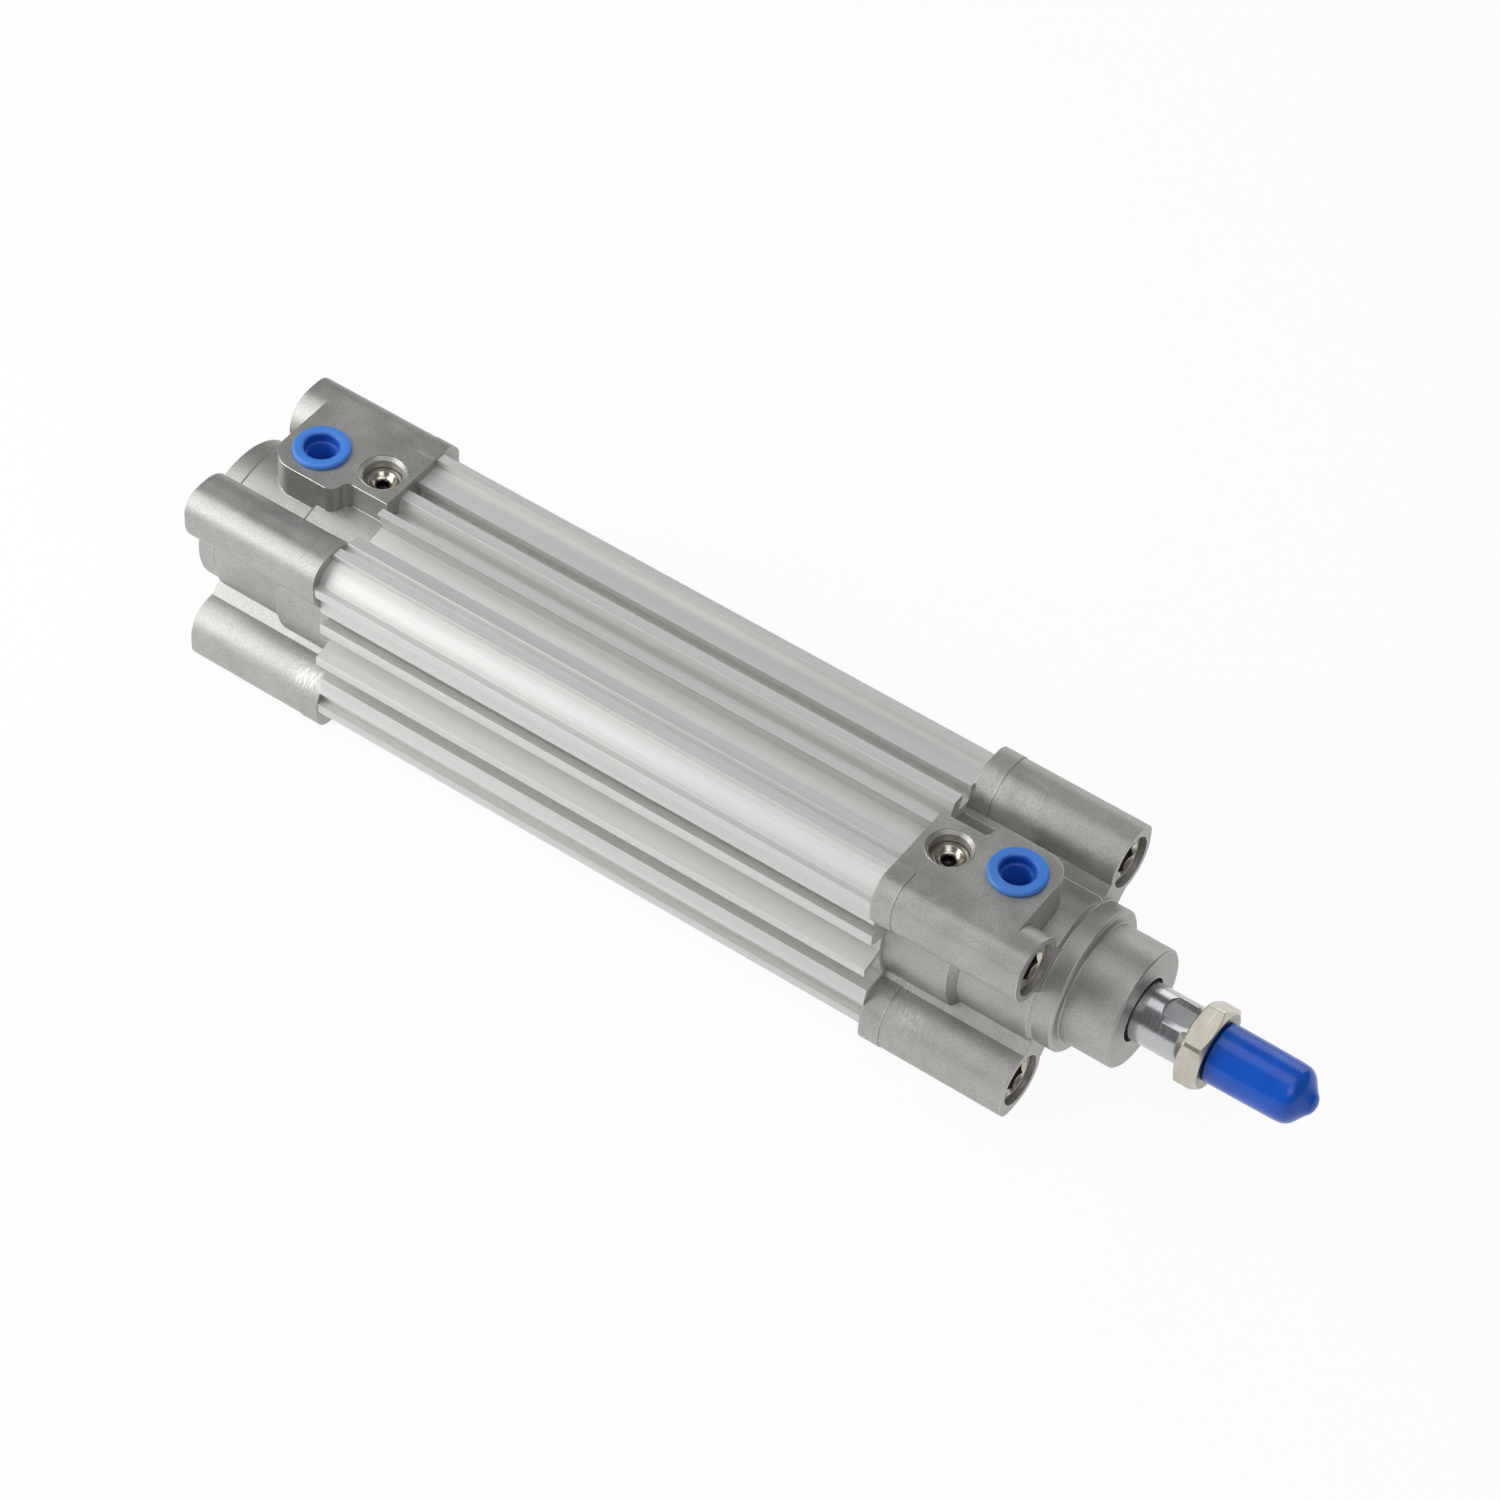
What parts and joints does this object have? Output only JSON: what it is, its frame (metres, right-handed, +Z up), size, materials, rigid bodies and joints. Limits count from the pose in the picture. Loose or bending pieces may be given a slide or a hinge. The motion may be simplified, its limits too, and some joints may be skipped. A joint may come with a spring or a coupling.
{
  "type": "pneumatic cylinder",
  "caption": "Profile air cylinder with slotted aluminium barrel, die-cast end covers, plugged ports, cushion screws, and a rod with a thin nut and thread cap.",
  "frame": {"origin": "where the rod's axis meets the front mounting face", "axes": "+X along the rod towards its thread, +Z up through the air ports"},
  "size_m": [0.2506, 0.0462, 0.0472],
  "materials": {
    "barrel": "drawn and anodised, satin",
    "cast_cover": "die-cast and blasted, fine grain",
    "nickel_screw": "nickel plated",
    "rod": "ground and polished",
    "nut": "nickel plated",
    "port_plug": "soft, slightly see-through",
    "thread_cap": "soft, glossy",
    "seal": "matt",
    "bearing": "sintered, satin",
    "piston": "turned",
    "magnet": "plastic bonded, matt",
    "guide_band": "matt"
  },
  "bodies": {
    "housing": {"barrel": "barrel", "front_cover": "cast_cover", "rear_cover": "cast_cover", "front_tie_screws": "nickel_screw", "rear_tie_screws": "nickel_screw", "front_barrel_seal": "seal", "rear_barrel_seal": "seal", "front_cushion_seal": "seal", "rear_cushion_seal": "seal", "rod_bearing": "bearing", "rod_seal": "seal", "front_port_plug": "port_plug", "rear_port_plug": "port_plug"},
    "piston_rings": {"piston_guide_ring": "guide_band", "front_piston_seal": "seal", "rear_piston_seal": "seal"},
    "rod_and_piston": {"piston_rod": "rod", "piston_front_half": "piston", "piston_rear_half": "piston", "piston_magnet": "magnet", "front_cushion_sleeve": "piston", "rear_cushion_sleeve": "piston", "thread_cap": "thread_cap"},
    "nut": {"rod_nut": "nut"},
    "front_needle": {"front_cushion_screw": "nickel_screw", "front_cushion_ring": "seal"},
    "rear_needle": {"rear_cushion_screw": "nickel_screw", "rear_cushion_ring": "seal"}
  },
  "joints": [
    {"name": "rod_slide", "type": "slide", "parent": "housing", "child": "piston_rings", "axis": [1, 0, 0], "range_m": [0, 0.1]},
    {"name": "rod_turn", "type": "hinge", "parent": "piston_rings", "child": "rod_and_piston", "pos_m": [0, 0, 0], "axis": [1, 0, 0], "continuous": true},
    {"name": "nut_turn", "type": "hinge", "parent": "rod_and_piston", "child": "nut", "pos_m": [0.0288, 0, 0], "axis": [1, 0, 0], "continuous": true},
    {"name": "front_cushion_turn", "type": "hinge", "parent": "housing", "child": "front_needle", "pos_m": [-0.0259, -0.0065, 0.02], "axis": [0, 0, 1], "range_deg": [0, 720]},
    {"name": "rear_cushion_turn", "type": "hinge", "parent": "housing", "child": "rear_needle", "pos_m": [-0.1681, 0.0065, 0.02], "axis": [0, 0, 1], "range_deg": [0, 720]}
  ]
}
